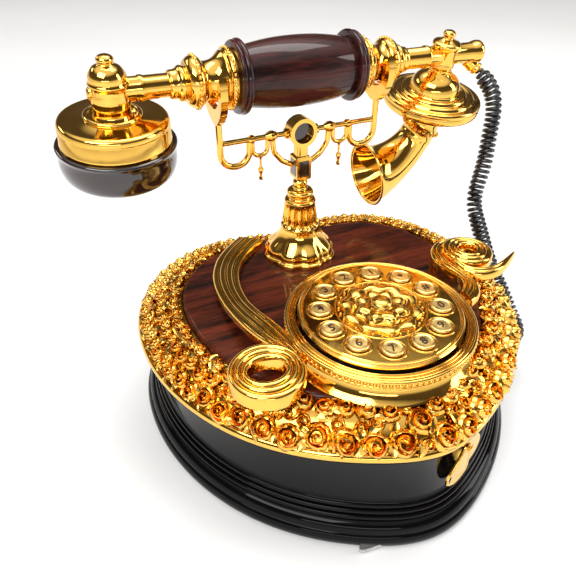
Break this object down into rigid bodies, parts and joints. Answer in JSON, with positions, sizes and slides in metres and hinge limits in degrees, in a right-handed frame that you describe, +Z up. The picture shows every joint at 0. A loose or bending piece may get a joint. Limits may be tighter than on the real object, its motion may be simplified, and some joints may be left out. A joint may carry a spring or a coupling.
{
  "type": "cradle telephone",
  "caption": "French-style cradle telephone: heart-shaped black plinth, gilt rose border, rosewood top with ribbon ornament, push-button dial, sprung fork cradle, horn handset and coiled cord.",
  "frame": {"origin": "on the table under the axis of the cradle's pedestal, at the bottom of the middle rubber pad", "axes": "+Z up; -Y towards the tip of the heart, where the lock is and the user sits; +X to the user's right, towards the mouthpiece end of the handset"},
  "size_m": [0.2344, 0.1946, 0.1848],
  "materials": {
    "plinth_black": "black gloss",
    "gold": "polished gilt",
    "key_gold": "polished pale gilt",
    "rosewood": "red-brown gloss lacquer",
    "mahogany": "dark gloss lacquer",
    "dark_cup": "dark brown gloss",
    "cord_black": "black gloss",
    "steel": "plain",
    "board_green": "matt",
    "black_plastic": "matt",
    "pad_rubber": "matt"
  },
  "bodies": {
    "base": {"plinth": "plinth_black", "base_plate": "steel", "rubber_feet": "pad_rubber", "base_screws": "steel", "main_board": "board_green", "sounder": "black_plastic", "line_socket": "black_plastic", "lock_plate": "gold", "flange_tray": "gold", "rose_garland": "gold", "wood_panel": "rosewood", "ribbon_left": "gold", "ribbon_right": "gold", "dial_housing": "gold", "dial_band": "gold", "dial_plate": "gold", "dial_hub": "gold", "keypad_membrane": "pad_rubber", "keypad_board": "board_green", "keypad_screws": "steel", "pedestal_foot": "gold", "pedestal_column": "gold", "pedestal_nut": "steel", "cradle_spring": "steel", "switch_bracket": "steel", "hook_switch": "black_plastic", "handset_cord": "cord_black", "cord_grommet": "cord_black"},
    "cradle": {"cradle_stem": "gold", "cradle_ring": "gold", "crossbar": "gold", "pendants": "gold", "fork_left": "gold", "fork_right": "gold"},
    "handset": {"grip": "mahogany", "handset_tube": "gold", "ferrule_left": "gold", "ferrule_right": "gold", "knob_left": "gold", "knob_right": "gold", "earpiece_drum": "gold", "earpiece_cap": "dark_cup", "receiver_capsule": "black_plastic", "mouthpiece_disc": "gold", "horn": "gold", "microphone_capsule": "black_plastic"},
    "cover": {"keyhole_cover": "gold"},
    "key_1": {"key_1": "key_gold"},
    "key_2": {"key_2": "key_gold"},
    "key_3": {"key_3": "key_gold"},
    "key_4": {"key_4": "key_gold"},
    "key_5": {"key_5": "key_gold"},
    "key_6": {"key_6": "key_gold"},
    "key_7": {"key_7": "key_gold"},
    "key_8": {"key_8": "key_gold"},
    "key_9": {"key_9": "key_gold"},
    "key_0": {"key_0": "key_gold"},
    "key_hash": {"key_hash": "key_gold"},
    "key_star": {"key_star": "key_gold"}
  },
  "joints": [
    {"name": "cradle_slide", "type": "slide", "parent": "base", "child": "cradle", "axis": [0, 0, 1], "range_m": [0, 0.004], "stiffness_N_per_m": 300, "springref_m": 0.008, "deforming": ["cradle_spring"]},
    {"name": "handset_lift", "type": "slide", "parent": "cradle", "child": "handset", "axis": [0, 0, 1], "range_m": [0, 0.03], "deforming": ["handset_cord"]},
    {"name": "cover_swing", "type": "hinge", "parent": "base", "child": "cover", "pos_m": [0.013, -0.1356, 0.046], "axis": [0.27, -0.9629, 0], "range_deg": [-18, 48]},
    {"name": "key_1_press", "type": "slide", "parent": "base", "child": "key_1", "axis": [0, 0, -1], "range_m": [0, 0.0015], "stiffness_N_per_m": 400, "springref_m": -0.0006},
    {"name": "key_2_press", "type": "slide", "parent": "base", "child": "key_2", "axis": [0, 0, -1], "range_m": [0, 0.0015], "stiffness_N_per_m": 400, "springref_m": -0.0006},
    {"name": "key_3_press", "type": "slide", "parent": "base", "child": "key_3", "axis": [0, 0, -1], "range_m": [0, 0.0015], "stiffness_N_per_m": 400, "springref_m": -0.0006},
    {"name": "key_4_press", "type": "slide", "parent": "base", "child": "key_4", "axis": [0, 0, -1], "range_m": [0, 0.0015], "stiffness_N_per_m": 400, "springref_m": -0.0006},
    {"name": "key_5_press", "type": "slide", "parent": "base", "child": "key_5", "axis": [0, 0, -1], "range_m": [0, 0.0015], "stiffness_N_per_m": 400, "springref_m": -0.0006},
    {"name": "key_6_press", "type": "slide", "parent": "base", "child": "key_6", "axis": [0, 0, -1], "range_m": [0, 0.0015], "stiffness_N_per_m": 400, "springref_m": -0.0006},
    {"name": "key_7_press", "type": "slide", "parent": "base", "child": "key_7", "axis": [0, 0, -1], "range_m": [0, 0.0015], "stiffness_N_per_m": 400, "springref_m": -0.0006},
    {"name": "key_8_press", "type": "slide", "parent": "base", "child": "key_8", "axis": [0, 0, -1], "range_m": [0, 0.0015], "stiffness_N_per_m": 400, "springref_m": -0.0006},
    {"name": "key_9_press", "type": "slide", "parent": "base", "child": "key_9", "axis": [0, 0, -1], "range_m": [0, 0.0015], "stiffness_N_per_m": 400, "springref_m": -0.0006},
    {"name": "key_0_press", "type": "slide", "parent": "base", "child": "key_0", "axis": [0, 0, -1], "range_m": [0, 0.0015], "stiffness_N_per_m": 400, "springref_m": -0.0006},
    {"name": "key_hash_press", "type": "slide", "parent": "base", "child": "key_hash", "axis": [0, 0, -1], "range_m": [0, 0.0015], "stiffness_N_per_m": 400, "springref_m": -0.0006},
    {"name": "key_star_press", "type": "slide", "parent": "base", "child": "key_star", "axis": [0, 0, -1], "range_m": [0, 0.0015], "stiffness_N_per_m": 400, "springref_m": -0.0006}
  ]
}
